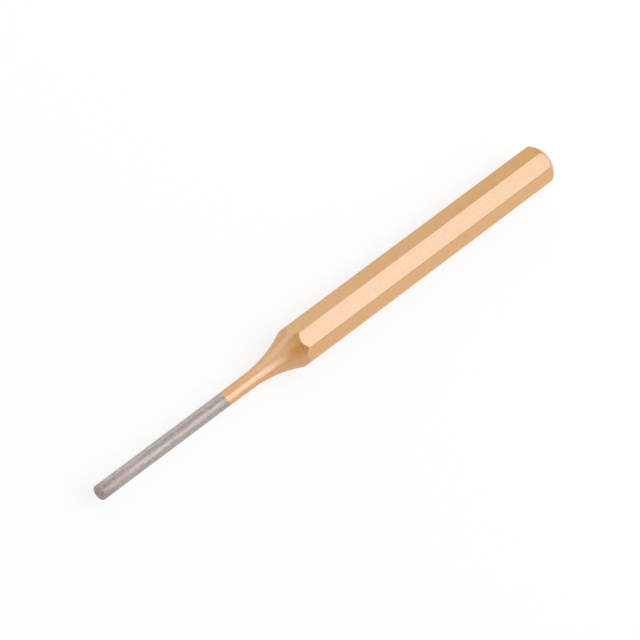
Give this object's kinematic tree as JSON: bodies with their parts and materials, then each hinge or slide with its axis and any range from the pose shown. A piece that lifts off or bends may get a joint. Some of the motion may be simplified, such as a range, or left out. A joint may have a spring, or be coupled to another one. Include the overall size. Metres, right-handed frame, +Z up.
{
  "type": "pin punch",
  "caption": "Parallel pin punch: an octagonal lacquered steel bar that flares down to a straight bare pin, struck on its chamfered head to drive pins out of holes.",
  "frame": {"origin": "on the surface that the punch lies on, below the middle of its length", "axes": "+X along the punch from its tip to its struck face, +Z up, square to the flat that it lies on"},
  "size_m": [0.15, 0.0102, 0.0101],
  "materials": {
    "ground_steel": "ground, fine marks round the pin",
    "gold_lacquer": "satin gold lacquer"
  },
  "bodies": {
    "root": {"steel_punch": "ground_steel", "lacquer_coat": "gold_lacquer"}
  },
  "joints": []
}
